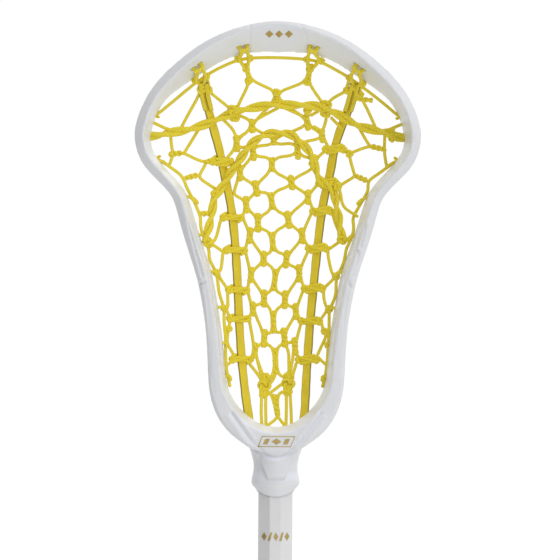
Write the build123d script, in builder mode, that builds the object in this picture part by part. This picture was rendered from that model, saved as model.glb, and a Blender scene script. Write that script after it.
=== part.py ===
from build123d import *
import os
from math import cos, radians, sin, tan

os.makedirs("parts", exist_ok=True)

# Driving dimensions, in millimetres. Z runs from the butt end up the shaft to the scoop's tip,
# the side that takes the ball faces -Y, and X = 0 is the stick's middle plane.
stick_length = 1095.0
head_length = 307.5
shaft_across = 22.2
shaft_front_flat = 7.4
shaft_corner = 1.2
shaft_wall = 1.4
socket_depth = 34.0
socket_gap = 0.15
cord_size = 2.0
runner_width = 5.8
runner_thickness = 1.3
cap_height = 26.0
cap_wall = 1.7
cap_floor = 2.4

collar_z = stick_length - head_length
shaft_half = shaft_across / 2


def at_height(height):
    """the Z of a height above the head's collar lip"""
    return collar_z + height


def between(table, height):
    """the row of a table at a height, its first column, straight between the rows that are there"""
    rows = sorted(table)
    height = min(max(height, rows[0][0]), rows[-1][0])
    for low, high in zip(rows, rows[1:]):
        if height <= high[0]:
            share = (height - low[0]) / (high[0] - low[0])
            return [a + (b - a) * share for a, b in zip(low, high)]


# ---- head frame: rim ----------------------------------------------------------------------------

web_thickness = 3.0
back_rail_depth = 5.0
back_rail_width = 6.0

# Stations down the right half of the rim, from the scoop's middle to the ball stop's middle:
# x and height of the inner front edge, the direction the rim faces in degrees above +X,
# front y, back y, width of the flat band, width and fall of the sloped band outside it,
# and how far the inner wall leans inwards on its way back.
rim = [
    (0.0, 304.2, 90, -27.0, -1.0, 0.9, 2.4, 2.5, 16.6),
    (23.4, 299.7, 75, -26.5, 0.0, 0.9, 3.1, 3.0, 13.2),
    (44.6, 289.8, 60, -25.5, 3.0, 0.9, 4.0, 3.8, 11.0),
    (61.3, 276.3, 49, -24.0, 7.0, 1.0, 5.0, 4.4, 8.6),
    (75.9, 260.8, 36, -22.5, 11.0, 1.0, 5.2, 4.8, 5.0),
    (84.6, 243.5, 14, -21.3, 15.0, 1.0, 5.3, 5.0, 4.2),
    (86.5, 232.0, 0, -20.7, 17.0, 1.0, 5.3, 5.0, 4.0),
    (84.1, 221.9, -27, -20.2, 18.5, 1.0, 5.3, 5.0, 3.8),
    (75.6, 210.1, -43, -19.6, 20.0, 1.1, 4.9, 4.8, 4.0),
    (63.6, 195.8, -32, -19.0, 21.0, 1.2, 4.4, 4.5, 4.0),
    (58.2, 181.7, -16, -18.6, 22.0, 1.6, 4.4, 4.2, 4.0),
    (52.3, 162.5, -17, -18.1, 23.0, 2.6, 3.6, 3.8, 4.0),
    (45.6, 142.6, -14, -17.7, 24.0, 4.0, 2.6, 3.2, 3.8),
    (42.7, 129.3, -12, -17.6, 24.4, 4.4, 2.1, 2.8, 3.5),
    (40.2, 116.0, -9, -17.6, 24.5, 4.9, 1.8, 2.5, 3.3),
    (38.4, 104.2, -5, -17.8, 24.3, 5.4, 1.8, 2.4, 3.2),
    (37.1, 92.5, -2, -18.0, 24.0, 5.9, 1.9, 2.4, 3.2),
    (36.2, 81.0, -4, -18.3, 23.3, 6.3, 1.9, 2.4, 3.2),
    (34.6, 69.5, -12, -18.6, 22.3, 7.2, 1.9, 2.4, 3.2),
    (28.6, 57.0, -38, -19.1, 20.5, 9.4, 2.0, 2.4, 3.2),
    (18.4, 46.7, -57, -19.4, 19.0, 10.6, 2.0, 2.4, 3.3),
    (0.0, 40.3, -90, -19.5, 18.0, 12.4, 2.0, 2.4, 3.3),
]


def rim_plane(x, height, facing):
    """the plane that cuts the rim square, with its X pointing out of the head and its Y along +Y"""
    out = (cos(radians(facing)), 0, sin(radians(facing)))
    return Plane(origin=(x, 0, at_height(height)), x_dir=out, z_dir=(-out[2], 0, out[0]))


def rim_outline(front, back, flat, slope, fall, lean):
    """the rim's section: front rail, thin web and back rail, open to the outside between the rails"""

    def wall(y):
        return -lean * (y - front) / (back - front)

    under_rail = front + fall + 4.2
    over_back = back - back_rail_depth
    return [
        (0, front),
        (flat, front + 0.2),
        (flat + slope, front + fall),
        (flat + slope - 0.7, front + fall + 2.4),
        (wall(under_rail) + web_thickness, under_rail),
        (wall(over_back - 1.6) + web_thickness, over_back - 1.6),
        (wall(over_back) + back_rail_width - 0.6, over_back),
        (wall(back) + back_rail_width, back - 0.8),
        (-lean, back),
    ]


def mirrored(station):
    """a rim station's twin on the left half"""
    x, height, facing, *shape = station
    return (-x, height, 180 - facing, *shape)


with BuildPart() as rim_half:
    beyond_top = [mirrored(station) for station in rim[2:0:-1]]
    beyond_foot = [mirrored(station) for station in rim[-2:-4:-1]]
    for x, height, facing, *shape in beyond_top + rim + beyond_foot:
        with BuildSketch(rim_plane(x, height, facing)):
            with BuildLine():
                Polyline(*rim_outline(*shape), close=True)
            make_face()
    loft()
    split(bisect_by=Plane.YZ, keep=Keep.TOP)

# ---- head frame: throat and socket --------------------------------------------------------------

# The throat's sections, up from the collar lip: height, half width, half depth
throat = [
    (0.0, 13.9, 13.7),
    (3.0, 14.6, 14.5),
    (11.0, 15.4, 15.2),
    (17.5, 14.3, 14.6),
    (24.0, 15.2, 15.4),
    (31.0, 17.6, 16.4),
    (38.0, 22.8, 17.0),
    (46.0, 29.8, 17.2),
    (54.0, 35.0, 17.2),
]
# Half of the ball stop's curve, as x and height, 1.2 mm inside its wall, and its lean per mm of depth
ball_stop = [(0.0, 39.0), (9.5, 40.5), (18.0, 44.8), (29.4, 56.2), (35.5, 70.0)]
ball_stop_lean = 0.088

with BuildPart() as throat_block:
    for height, half_width, half_depth in throat:
        with BuildSketch(Plane.XY.offset(at_height(height))):
            Ellipse(half_width, half_depth)
    loft()
    with BuildSketch(Plane.XZ.offset(19.5)):
        with BuildLine():
            right = [(x, at_height(height)) for x, height in ball_stop]
            left = [(-x, z) for x, z in right[:0:-1]]
            Spline(*left, *right)
            Line(right[-1], left[0])
        make_face()
    extrude(amount=45, dir=(0, 1, ball_stop_lean), mode=Mode.SUBTRACT)

window_y = 3.0
windows = [(99.5, 30.0, -6), (133.5, 26.0, -12), (165.0, 24.0, -16)]

# String holes through the back rail, as heights, and the pairs of holes in the scoop's face, as the
# x of the scoop's edge above each and how far down the face it lies
rim_holes = [247.5, 233.5, 218.0, 192.0, 168.0, 144.0, 121.0, 98.0, 76.0]
scoop_holes = [(22.6, 0.64), (27.6, 0.62), (52.8, 0.46), (57.4, 0.44)]
hole_size = 3.4

rim_by_height = [(station[1], *station[:1], *station[2:]) for station in rim[3:-3]]


def rim_hole(side, height, out):
    """a point on a string hole's axis, so far out from the rim's inner edge, on side -1 or 1"""
    _, x, facing, _, back, _, _, _, lean = between(rim_by_height, height)
    reach = out - lean
    across = cos(radians(facing)) * reach
    return (side * (x + across), back - 2.6, at_height(height) + sin(radians(facing)) * reach)


def scoop_hole(side, edge_x, share, out):
    """a point on the axis of a hole square to the scoop's face, so far out from the face"""
    height, facing, front, back, _, _, _, lean = between(rim[:5], edge_x)[1:]
    run = (lean ** 2 + (back - front) ** 2) ** 0.5
    reach = -lean * share + out * (back - front) / run
    x = edge_x + cos(radians(facing)) * reach
    y = front + (back - front) * share + out * lean / run
    return (side * x, y, at_height(height) + sin(radians(facing)) * reach)


def cut_hole(start, end):
    """a string hole from one point to another"""
    start, end = Vector(start), Vector(end)
    with BuildSketch(Plane(origin=start, z_dir=end - start)) as mouth:
        Circle(hole_size / 2)
    extrude(mouth.sketch, amount=(end - start).length, mode=Mode.SUBTRACT)


def shaft_outline(grow=0.0):
    """the eight-sided outline that shaft, socket and cap share"""
    half = shaft_half + grow
    flat = shaft_front_flat / 2 + grow * tan(radians(22.5))
    with BuildLine() as eight_sides:
        Polyline(
            (flat, half), (half, flat), (half, -flat), (flat, -half),
            (-flat, -half), (-half, -flat), (-half, flat), (-flat, half), close=True,
        )
    make_face(eight_sides.edges())


screw_height = 13.0
screw_shank = 3.4
screw_head = 7.2
screw_head_depth = 2.4
collar_half_depth = 15.2
screw_plane = Plane(origin=(0, collar_half_depth - screw_head_depth, at_height(screw_height)),
                    x_dir=(1, 0, 0), z_dir=(0, 1, 0))

with BuildPart() as head_frame:
    add(rim_half.part)
    mirror(about=Plane.YZ)
    add(throat_block.part)
    with BuildSketch(Plane.XY.offset(at_height(-1))):
        shaft_outline(socket_gap)
    extrude(amount=socket_depth + 1, mode=Mode.SUBTRACT)
    for side in (-1, 1):
        for height, length, lean_angle in windows:
            _, x, *_ = between(rim_by_height, height)
            middle = (side * x, window_y, at_height(height))
            with BuildSketch(Plane(origin=middle, x_dir=(0, 0, 1), z_dir=(side, 0, 0))):
                SlotOverall(length, 12.0)
            extrude(amount=8, both=True, mode=Mode.SUBTRACT)
        for height in rim_holes:
            cut_hole(rim_hole(side, height, -4), rim_hole(side, height, 12))
        for edge_x, share in scoop_holes:
            cut_hole(scoop_hole(side, edge_x, share, -4), scoop_hole(side, edge_x, share, 9))
    with BuildSketch(screw_plane):
        Circle(screw_head / 2 + 0.2)
    extrude(amount=6, mode=Mode.SUBTRACT)
    with BuildSketch(screw_plane):
        Circle(screw_shank / 2 + 0.1)
    extrude(amount=-6, mode=Mode.SUBTRACT)

# ---- shaft, butt cap and screw ------------------------------------------------------------------

with BuildPart() as shaft:
    with BuildSketch(Plane.XY.offset(cap_floor)):
        shaft_outline()
        fillet(vertices(), shaft_corner)
        offset(amount=-shaft_wall, mode=Mode.SUBTRACT)
    extrude(amount=at_height(socket_depth - 0.5) - cap_floor)
    with BuildSketch(screw_plane):
        Circle(screw_shank / 2 + 0.1)
    extrude(amount=-6, mode=Mode.SUBTRACT)

with BuildPart() as butt_cap:
    with BuildSketch():
        shaft_outline(cap_wall)
        fillet(vertices(), shaft_corner + cap_wall)
    extrude(amount=cap_height)
    fillet(faces().sort_by(Axis.Z)[0].edges(), 1.5)
    fillet(faces().sort_by(Axis.Z)[-1].edges(), 0.5)
    with BuildSketch(Plane.XY.offset(cap_floor)):
        shaft_outline(0.05)
    extrude(amount=cap_height, mode=Mode.SUBTRACT)

with BuildPart() as head_screw:
    with BuildSketch(screw_plane):
        Circle(screw_head / 2)
    extrude(amount=screw_head_depth - 0.3)
    fillet(faces().sort_by(Axis.Y)[-1].edges(), 0.9)
    with BuildSketch(screw_plane):
        Circle(screw_shank / 2)
    extrude(amount=-8)
    with BuildSketch(screw_plane.offset(screw_head_depth)):
        Rectangle(4.0, 0.9)
        Rectangle(0.9, 4.0)
    extrude(amount=-1.5, mode=Mode.SUBTRACT)

# ---- pocket -------------------------------------------------------------------------------------

# How deep the pocket hangs: height, half width of the opening, y at the rim, extra depth midway
pocket = [
    (30.0, 20.0, 20.6, 0.0),
    (46.0, 24.0, 20.6, 0.5),
    (54.0, 27.0, 20.4, 3.0),
    (70.0, 31.0, 20.4, 9.0),
    (90.0, 34.0, 21.4, 15.0),
    (120.0, 38.0, 21.8, 19.0),
    (150.0, 44.0, 21.0, 19.0),
    (180.0, 53.0, 19.4, 16.0),
    (210.0, 70.0, 17.4, 12.0),
    (235.0, 82.0, 14.4, 8.5),
    (255.0, 76.0, 9.0, 6.0),
    (270.0, 57.0, 4.0, 3.5),
    (288.0, 20.0, 0.0, 0.5),
]


def net_point(x, height, lift=0.0):
    """a point of the pocket's surface; lift moves it back, away from the ball"""
    _, half, at_rim, deeper = between(pocket, height)
    share = min(abs(x) / half, 1)
    return (x, at_rim + deeper * (1 - share ** 2) + lift, at_height(height))


def corner_radii(points):
    """the largest arcs that a route's straight runs leave room for"""
    radii = []
    for before, corner, after in zip(points, points[1:], points[2:]):
        arrive, leave = Vector(corner) - Vector(before), Vector(after) - Vector(corner)
        half_turn = radians(arrive.get_angle(leave)) / 2
        radii.append(0.45 * min(arrive.length, leave.length) / tan(half_turn))
    return radii


tightest = []


def lay_cord(points, size=cord_size):
    """one plain length of cord: straight runs joined by tangent arcs"""
    radii = corner_radii(points)
    tightest.extend(radii)
    with BuildLine() as route:
        if radii:
            FilletPolyline(*points, radius=radii)
        else:
            Line(*points)
    with BuildSketch(Plane(origin=route.line @ 0, z_dir=route.line % 0)) as section:
        Circle(size / 2)
    sweep(section.sketch, path=route.line)


def lay_on_net(route, lift=0.0, size=cord_size):
    """a cord along the pocket's surface, its route given as x and height"""
    lay_cord([net_point(x, height, lift) for x, height in route], size)


def round_the_rail(side, height):
    """the route from inside the head out through a string hole and back in behind the rail"""
    inside, outside = rim_hole(side, height, -2.5), rim_hole(side, height, 7.6)
    behind = [(x, y + 4.2, z) for x, y, z in (outside, inside)]
    return [inside, outside, *behind]


runner_left_line = [
    (-48.6, 268.0), (-48.3, 262.0), (-46.0, 253.0), (-41.5, 237.0), (-37.5, 223.0), (-35.0, 210.0),
    (-31.0, 193.0), (-28.0, 172.0), (-26.0, 146.0), (-24.5, 114.0), (-23.0, 91.0), (-20.5, 68.0),
    (-18.4, 54.0), (-17.2, 42.0),
]
runner_right_line = [
    (50.2, 268.0), (49.2, 260.0), (45.5, 249.0), (40.5, 237.0), (37.0, 224.0), (35.0, 210.0),
    (30.5, 192.0), (28.0, 172.0), (25.5, 146.0), (22.5, 114.0), (21.0, 91.0), (19.7, 68.0),
    (19.2, 54.0), (18.0, 42.0),
]


def lay_runner(line):
    """a flat thong down the pocket, lofted through level sections"""
    sections = []
    for x, height in line:
        _, y, z = net_point(x, height)
        with BuildSketch(Plane(origin=(x, y, z), x_dir=(1, 0, 0), z_dir=(0, 0, 1))) as section:
            Rectangle(runner_width, runner_thickness)
        sections.append(section.sketch)
    loft(sections)


with BuildPart() as runner_left:
    lay_runner(runner_left_line)

with BuildPart() as runner_right:
    lay_runner(runner_right_line)


def wrap_runner(line, heights):
    """the turns of cord round a runner, each set as one close sleeve"""
    across = [(height, x) for x, height in line]
    for height, turns in heights:
        low, high = (net_point(between(across, h)[1], h) for h in (height - 4, height + 4))
        along = Vector(high) - Vector(low)
        x = between(across, height)[1]
        with BuildSketch(Plane(origin=net_point(x, height), x_dir=(1, 0, 0), z_dir=along)) as ring:
            RectangleRounded(runner_width + 4.4, runner_thickness + 4.4, 2.2)
            Rectangle(runner_width + 0.3, runner_thickness + 0.35, mode=Mode.SUBTRACT)
        extrude(ring.sketch, amount=turns * cord_size / 2, both=True)


left_wraps = [(217.5, 3), (180.8, 2.5), (159.3, 2.5), (133.0, 2.5), (114.2, 2), (87.5, 2.5)]
right_wraps = [(226.0, 2.5), (203.5, 3), (185.3, 2.5), (160.8, 2.5), (134.3, 2.5), (112.8, 2), (87.5, 2.5)]

with BuildPart() as runner_wraps_left:
    wrap_runner(runner_left_line, left_wraps)

with BuildPart() as runner_wraps_right:
    wrap_runner(runner_right_line, right_wraps)

# The middle mesh, column by column: each bar, where two cords twist together, by x and height of
# its top and of its bottom. The outer columns are the cord's turning points beside the runners.
bars = {
    "left": [((-34.0, 219.0), (-34.0, 217.0)), ((-28.5, 198.0), (-28.2, 195.5)),
             ((-22.6, 182.5), (-22.6, 180.5)), ((-20.8, 160.5), (-20.8, 158.5)),
             ((-19.0, 134.0), (-19.0, 132.0)), ((-18.0, 115.0), (-18.0, 113.5)),
             ((-16.6, 88.5), (-16.6, 86.5))],
    "a": [((-27.0, 234.5), (-26.5, 224.0)), ((-24.5, 215.0), (-24.5, 205.0)),
          ((-20.5, 194.5), (-20.0, 184.0)), ((-17.5, 174.0), (-18.0, 164.0)),
          ((-16.5, 148.0), (-17.0, 138.0)), ((-15.5, 125.0), (-15.2, 116.0)),
          ((-13.5, 98.0), (-14.2, 88.5))],
    "b": [((-17.0, 245.0), (-16.5, 236.5)), ((-16.5, 230.0), (-15.5, 218.5)),
          ((-14.5, 205.0), (-13.0, 195.0)), ((-12.5, 183.5), (-12.3, 171.5)),
          ((-8.5, 158.5), (-8.5, 149.0)), ((-8.0, 133.0), (-8.0, 122.0)),
          ((-7.5, 107.0), (-8.0, 95.5)), ((-7.7, 75.0), (-7.5, 64.0))],
    "m": [((-1.0, 262.5), (-0.5, 257.5)), ((-2.3, 233.5), (-2.3, 228.5)),
          ((-3.5, 220.5), (-3.5, 211.0)), ((-4.5, 197.5), (-2.4, 186.0)),
          ((-3.3, 171.5), (-2.0, 158.5)), ((0.0, 147.0), (-2.0, 132.5)),
          ((-2.0, 119.5), (-1.5, 104.5)), ((-0.5, 95.0), (0.0, 77.5)),
          ((-1.0, 64.5), (1.0, 52.5))],
    "c": [((19.0, 248.5), (20.0, 238.5)), ((13.0, 232.5), (13.6, 219.5)),
          ((9.0, 208.5), (10.0, 199.5)), ((7.0, 185.0), (8.3, 174.0)),
          ((7.0, 159.0), (6.2, 148.0)), ((6.0, 132.5), (5.7, 121.0)),
          ((5.2, 108.0), (6.0, 95.5)), ((8.0, 77.5), (8.3, 64.5))],
    "d": [((29.0, 239.0), (29.7, 230.5)), ((24.5, 222.0), (25.3, 211.0)),
          ((20.5, 199.0), (20.5, 190.0)), ((16.5, 174.0), (17.3, 164.0)),
          ((15.0, 150.0), (15.3, 138.5)), ((12.7, 124.0), (13.5, 114.0)),
          ((12.4, 101.5), (12.8, 90.5))],
    "right": [((33.4, 228.0), (33.2, 226.0)), ((27.6, 205.0), (27.2, 203.0)),
              ((23.8, 187.0), (23.6, 185.0)), ((21.4, 161.5), (21.3, 159.5)),
              ((18.3, 135.5), (18.2, 133.5)), ((16.8, 113.3), (16.8, 111.8)),
              ((14.8, 88.0), (14.8, 86.5))],
}
strand_apart = 1.08


def mesh_cord(left, right):
    """the cord that works its way down between two neighbouring columns of bars"""
    places = [(bar, strand_apart) for bar in bars[left]] + [(bar, -strand_apart) for bar in bars[right]]
    places.sort(key=lambda place: -place[0][0][1] - place[0][1][1])
    route = []
    for (top, bottom), aside in places:
        route += [(top[0] + aside, top[1]), (bottom[0] + aside, bottom[1])]
    lay_on_net(route)


columns = list(bars)
with BuildPart() as center_lace:
    for left, right in zip(columns, columns[1:]):
        mesh_cord(left, right)

with BuildPart() as top_string:
    lay_cord([*reversed(round_the_rail(-1, 247.5)), net_point(-56.0, 266.5),
              net_point(-36.0, 279.0), net_point(-22.0, 284.5), net_point(0.0, 285.5),
              net_point(21.0, 284.0), net_point(37.0, 277.5), net_point(57.0, 265.0),
              *round_the_rail(1, 247.5)])

# Each loop hangs from one pair of scoop holes: x and height of its foot
loop_feet = [(-49.5, 271.6), (-22.0, 279.5), (21.5, 279.0), (50.0, 271.6)]


def scoop_loop(foot, pair, side):
    """out through one hole, over the back of the scoop, in through the other, and down its face"""
    foot_x, foot_y, foot_z = net_point(*foot, -1.5)
    near, far = pair
    near_edge, far_edge = ((x, share + 0.3) for x, share in pair)
    lay_cord([(foot_x - side * 1.2, foot_y, foot_z), scoop_hole(side, *near_edge, -2.2),
              scoop_hole(side, *near, -2.8), scoop_hole(side, *near, 6.5),
              scoop_hole(side, *far, 6.5), scoop_hole(side, *far, -2.8),
              scoop_hole(side, *far_edge, -2.2), (foot_x + side * 1.2, foot_y, foot_z)])


with BuildPart() as scoop_loops:
    for foot in loop_feet:
        side = 1 if foot[0] > 0 else -1
        pair = scoop_holes[:2] if abs(foot[0]) < 30 else scoop_holes[2:]
        scoop_loop(foot, pair, side)

# The single cords between the top string and the upper shooting string
with BuildPart() as upper_net:
    lay_on_net([(-61.0, 241.5), (-53.5, 256.0), (-53.0, 262.5)])
    lay_on_net([(-43.5, 262.5), (-41.5, 259.5), (-33.5, 252.5)])
    lay_on_net([(-25.5, 254.5), (-19.5, 266.5), (-20.8, 281.0)])
    lay_on_net([(-18.6, 281.0), (-17.0, 269.5), (-3.0, 263.5)])
    lay_on_net([(0.8, 262.8), (18.0, 269.0), (20.2, 280.6)])
    lay_on_net([(22.4, 280.6), (20.4, 268.6), (26.3, 258.8)])
    lay_on_net([(33.5, 257.0), (43.5, 263.5), (44.4, 270.8)])
    lay_on_net([(55.5, 263.5), (55.5, 257.0), (63.5, 242.5)])

with BuildPart() as upper_shooting_string:
    front_strand = [(-62.0, 237.8), (-56.0, 238.5), (-46.5, 243.2), (-36.5, 247.5), (-29.0, 250.2),
                    (-18.5, 252.6), (-7.0, 254.8), (4.0, 255.4), (22.0, 255.0), (31.5, 252.6),
                    (40.0, 249.6), (44.0, 247.0), (53.0, 242.3), (66.0, 239.0), (72.5, 239.5)]
    lay_cord([*reversed(round_the_rail(-1, 233.5)), net_point(-70.5, 234.6, -2.2),
              *(net_point(*spot, -2.2) for spot in front_strand),
              rim_hole(1, 247.5, -9.0)])
    back_strand = [(-69.0, 231.6), (-62.0, 233.4), (-51.0, 236.0), (-43.0, 239.5), (-36.5, 243.5),
                   (-29.0, 247.0), (-7.0, 251.8), (14.0, 252.6), (31.5, 249.0), (40.0, 245.2),
                   (48.0, 240.4), (62.5, 237.0), (72.0, 233.0)]
    lay_cord([rim_hole(-1, 233.5, -9.0), *(net_point(*spot, 2.2) for spot in back_strand),
              *round_the_rail(1, 233.5)])

with BuildPart() as lower_shooting_string:
    arch = [(-46.6, 164.0), (-46.0, 170.0), (-43.6, 176.5), (-42.6, 184.0), (-41.5, 192.0),
            (-37.5, 199.0), (-31.0, 210.0), (-27.5, 214.5), (-24.5, 219.0), (-21.0, 224.0),
            (-18.5, 228.0), (-14.0, 231.6), (-10.5, 234.2), (-5.5, 236.0), (4.0, 236.5),
            (9.0, 235.3), (12.5, 232.8), (16.0, 229.8), (19.0, 226.8), (22.5, 222.0),
            (25.5, 214.5), (27.5, 207.0), (33.0, 202.0), (37.8, 196.0), (39.0, 188.0),
            (41.0, 181.0), (43.0, 168.0)]
    lay_on_net(arch, -3.2, 2.6)
    lay_on_net([(40.8, 200.0), (42.3, 192.0), (44.6, 186.8), (49.0, 184.0), (52.2, 180.5)], -3.2)

with BuildPart() as side_lace_left:
    lay_on_net([(-70.0, 229.6), (-69.4, 223.4), (-61.0, 222.4), (-49.5, 217.6), (-47.6, 214.2),
                (-51.0, 208.4), (-50.0, 205.4), (-43.0, 200.6), (-38.6, 190.0), (-37.6, 178.0),
                (-38.4, 173.0), (-40.2, 166.0), (-41.6, 162.0), (-37.6, 158.6), (-35.9, 155.0),
                (-36.2, 149.5), (-37.6, 144.6), (-36.6, 140.6), (-33.2, 134.4), (-32.4, 131.0),
                (-32.0, 125.5), (-32.4, 121.0), (-31.0, 115.0), (-30.2, 110.0), (-30.8, 104.5),
                (-30.2, 98.0), (-28.8, 91.0), (-28.9, 86.4), (-28.4, 82.0)])
    lay_on_net([(-54.0, 234.0), (-59.8, 225.6)])
    lay_on_net([(-53.4, 208.6), (-60.4, 208.4)])

with BuildPart() as side_lace_right:
    lay_on_net([(70.4, 229.6), (69.6, 226.6), (60.5, 228.0), (49.5, 223.4), (47.6, 220.4),
                (50.4, 210.0), (49.6, 206.8), (43.5, 203.4)])
    lay_on_net([(37.4, 182.6), (38.6, 176.0), (41.4, 169.6), (43.0, 164.4), (41.0, 161.6),
                (36.4, 160.0), (34.8, 156.6), (35.6, 150.0), (37.4, 144.0), (36.4, 140.2),
                (32.4, 135.2), (31.6, 131.6), (32.0, 126.4), (33.0, 121.6), (32.2, 118.4),
                (29.8, 114.6), (29.6, 111.0), (31.0, 106.6), (30.4, 101.4), (28.0, 91.0),
                (28.4, 86.6), (28.0, 82.0)])
    lay_on_net([(54.5, 235.4), (58.6, 230.6)])
    lay_on_net([(52.6, 208.4), (58.4, 206.4)])


with BuildPart() as sidewall_string_left:
    lay_on_net([
        (-75.6, 217.0), (-70.0, 212.6), (-61.6, 205.4), (-57.8, 197.0), (-53.0, 188.0), (-49.6, 179.0),
        (-48.6, 170.0), (-45.1, 159.0), (-42.6, 151.0), (-39.8, 143.6), (-37.9, 134.0),
        (-35.4, 121.5), (-34.2, 112.0), (-32.6, 100.0), (-31.6, 90.0), (-30.6, 80.0), (-29.2, 69.0)])

with BuildPart() as sidewall_string_right:
    lay_on_net([
        (75.2, 216.4), (69.0, 211.4), (60.4, 204.6), (57.0, 194.0), (52.0, 186.4), (49.8, 178.0), (48.9, 170.6),
        (45.4, 160.0), (42.6, 151.0), (39.8, 142.8), (37.6, 132.0), (35.9, 123.4), (34.2, 112.0),
        (32.4, 98.0), (31.2, 86.0), (30.3, 76.0), (29.2, 69.0)])

# The ties that hold a sidewall string to the rail, hole by hole
with BuildPart() as rim_ties_left:
    for height in rim_holes[2:]:
        lay_cord(round_the_rail(-1, height))

with BuildPart() as rim_ties_right:
    for height in rim_holes[2:]:
        lay_cord(round_the_rail(1, height))

# The cords that end the mesh: from its last bars down through the pocket's foot
with BuildPart() as throat_strings:
    lay_on_net([(-12.0, 85.5), (-10.8, 77.0), (-9.6, 62.0), (-9.6, 46.0)])
    lay_on_net([(-6.4, 61.0), (-6.2, 46.0)])
    lay_on_net([(6.9, 61.0), (6.8, 46.0)])
    lay_on_net([(12.4, 86.5), (11.6, 77.0), (10.2, 62.0), (10.4, 46.0)])

pieces = {
    "head_frame": head_frame,
    "shaft": shaft,
    "butt_cap": butt_cap,
    "head_screw": head_screw,
    "runner_left": runner_left,
    "runner_right": runner_right,
    "runner_wraps_left": runner_wraps_left,
    "runner_wraps_right": runner_wraps_right,
    "top_string": top_string,
    "scoop_loops": scoop_loops,
    "upper_net": upper_net,
    "upper_shooting_string": upper_shooting_string,
    "lower_shooting_string": lower_shooting_string,
    "center_lace": center_lace,
    "side_lace_left": side_lace_left,
    "side_lace_right": side_lace_right,
    "sidewall_string_left": sidewall_string_left,
    "sidewall_string_right": sidewall_string_right,
    "rim_ties_left": rim_ties_left,
    "rim_ties_right": rim_ties_right,
    "throat_strings": throat_strings,
}
for name, piece in pieces.items():
    piece.part.label = name
    export_step(piece.part, f"parts/{name}.step")

print("tightest cord arcs, mm:", [round(radius, 1) for radius in sorted(tightest)[:8]])
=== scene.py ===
from math import cos, pi, radians, sin

import bmesh
import bpy
import numpy as np
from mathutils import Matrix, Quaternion, Vector
from mathutils.bvhtree import BVHTree


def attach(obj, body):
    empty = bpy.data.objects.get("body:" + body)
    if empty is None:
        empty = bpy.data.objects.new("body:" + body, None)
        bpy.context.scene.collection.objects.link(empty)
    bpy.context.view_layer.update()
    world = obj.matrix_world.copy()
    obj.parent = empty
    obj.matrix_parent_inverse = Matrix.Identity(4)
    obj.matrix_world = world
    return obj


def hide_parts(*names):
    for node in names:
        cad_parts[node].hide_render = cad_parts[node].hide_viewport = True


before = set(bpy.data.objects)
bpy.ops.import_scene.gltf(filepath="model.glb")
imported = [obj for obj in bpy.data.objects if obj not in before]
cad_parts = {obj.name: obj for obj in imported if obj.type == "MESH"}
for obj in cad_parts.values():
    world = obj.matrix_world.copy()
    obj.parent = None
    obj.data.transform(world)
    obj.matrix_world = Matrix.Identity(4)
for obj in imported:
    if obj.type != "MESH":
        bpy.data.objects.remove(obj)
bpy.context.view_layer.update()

mm = 0.001
collarZ = 787.5  # mm from the butt end up to the head's collar lip
scene = bpy.context.scene
print("frame loaded:", len(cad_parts), "nodes")


class Value:
    # a node's output, with the maths that the finishes use
    def __init__(self, finish, socket):
        self.finish, self.socket = finish, socket

    def maths(self, operation, *inputs):
        return self.finish.node("ShaderNodeMath", {"operation": operation},
                                **{str(i): v for i, v in enumerate(inputs)})

    def __add__(self, other):
        return self.maths("ADD", self, other)

    def __sub__(self, other):
        return self.maths("SUBTRACT", self, other)

    def __mul__(self, other):
        return self.maths("MULTIPLY", self, other)

    def __rsub__(self, other):
        return self.maths("SUBTRACT", other, self)

    def __abs__(self):
        return self.maths("ABSOLUTE", self)

    def sine(self):
        return self.maths("SINE", self)

    __radd__ = __add__
    __rmul__ = __mul__


class Finish:
    # a material or world, and the nodes that it is made of
    def __init__(self, owner, shader="ShaderNodeBsdfPrincipled"):
        owner.use_nodes = True
        self.owner, self.tree = owner, owner.node_tree
        self.shader = next(n for n in self.tree.nodes if n.bl_idname == shader)

    def node(self, kind, settings=None, output=0, **inputs):
        made = self.tree.nodes.new(kind)
        for name, setting in (settings or {}).items():
            if name == "stops":
                while len(made.color_ramp.elements) < len(setting):
                    made.color_ramp.elements.new(0.5)
                for stop, (place, colour) in zip(made.color_ramp.elements, setting):
                    stop.position, stop.color = place, (*colour, 1)
            else:
                setattr(made, name, setting)
        for name, value in inputs.items():
            self.feed(made.inputs[int(name) if name.isdigit() else name.replace("_", " ")], value)
        return Value(self, made.outputs[output])

    def feed(self, socket, value):
        if isinstance(value, Value):
            self.tree.links.new(value.socket, socket)
        else:
            socket.default_value = value

    def shade(self, **inputs):
        for name, value in inputs.items():
            self.feed(self.shader.inputs[name.replace("_", " ")], value)
        return self.owner

    def noise(self, where, scale, detail=3.0, roughness=0.5):
        return self.node("ShaderNodeTexNoise", Vector=where, Scale=scale, Detail=detail, Roughness=roughness)

    def ramp(self, value, stops):
        return self.node("ShaderNodeValToRGB", {"stops": stops}, Fac=value)

    def mix(self, share, low, high):
        return self.node("ShaderNodeMix", {"data_type": "RGBA"}, 2, **{"0": share, "6": low, "7": high})

    def bump(self, height, strength, distance):
        return self.node("ShaderNodeBump", Height=height, Strength=strength, Distance=distance)

    def vector(self, operation, first, second, output=0):
        return self.node("ShaderNodeVectorMath", {"operation": operation}, output, **{"0": first, "1": second})

    def coordinate(self, kind):
        return self.node("ShaderNodeTexCoord", output=("generated", "normal", "uv", "object").index(kind))

    def parts(self, vector):
        split = self.node("ShaderNodeSeparateXYZ", Vector=vector)
        return [Value(self, socket) for socket in split.socket.node.outputs]


def newFinish(name):
    return Finish(bpy.data.materials.new(name))


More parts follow.
